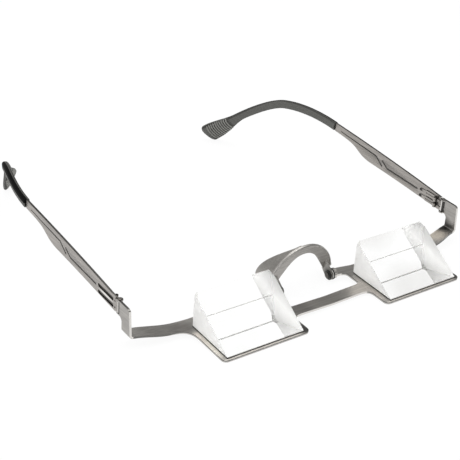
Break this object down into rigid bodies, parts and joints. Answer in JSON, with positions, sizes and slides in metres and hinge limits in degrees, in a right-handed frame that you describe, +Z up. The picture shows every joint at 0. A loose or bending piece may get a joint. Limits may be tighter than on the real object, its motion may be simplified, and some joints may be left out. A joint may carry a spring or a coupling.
{
  "type": "belay glasses",
  "caption": "Folding glasses with wedge prisms mirrored underneath, on a thin metal front with a swivelling nose bridge.",
  "frame": {"origin": "on the table, under the middle of the glasses as they lie open on the front edge of the trays and on both temple tips", "axes": "+X across the face towards the right in the front view, +Y from the prisms back to the temple tips, +Z up from the table"},
  "size_m": [0.143, 0.1616, 0.027],
  "materials": {
    "brushed_metal": "satin",
    "pin_metal": "satin",
    "washer_metal": "polished",
    "black_washer": "matte",
    "prism_glass": "polished",
    "mirror_coat": "polished",
    "black_bond": "matte",
    "grey_rubber": "matte"
  },
  "bodies": {
    "front": {"front_frame": "brushed_metal", "prism_left": "prism_glass", "prism_right": "prism_glass", "mirror_layer_left": "mirror_coat", "mirror_layer_right": "mirror_coat", "bonding_pad_left": "black_bond", "bonding_pad_right": "black_bond", "hinge_pin_left": "pin_metal", "hinge_pin_right": "pin_metal", "nose_rivet_left": "pin_metal", "nose_rivet_right": "pin_metal", "friction_washers_left": "black_washer", "friction_washers_right": "black_washer", "nose_washer_left": "washer_metal", "nose_washer_right": "washer_metal"},
    "left_temple": {"temple_left": "brushed_metal", "hinge_spring_left": "pin_metal", "tip_sleeve_left": "grey_rubber"},
    "right_temple": {"temple_right": "brushed_metal", "hinge_spring_right": "pin_metal", "tip_sleeve_right": "grey_rubber"},
    "bridge": {"nose_bridge": "brushed_metal"}
  },
  "joints": [
    {"name": "left_temple_fold", "type": "hinge", "parent": "front", "child": "left_temple", "pos_m": [-0.0699, -0.05019, 0.01208], "axis": [0, 0.0846, -0.9964], "range_deg": [0, 82]},
    {"name": "right_temple_fold", "type": "hinge", "parent": "front", "child": "right_temple", "pos_m": [0.0699, -0.05019, 0.01208], "axis": [0, -0.0846, 0.9964], "range_deg": [0, 75]},
    {"name": "bridge_swivel", "type": "hinge", "parent": "front", "child": "bridge", "pos_m": [0, -0.05609, 0.0025], "axis": [1, 0, 0], "range_deg": [-20, 20]}
  ]
}
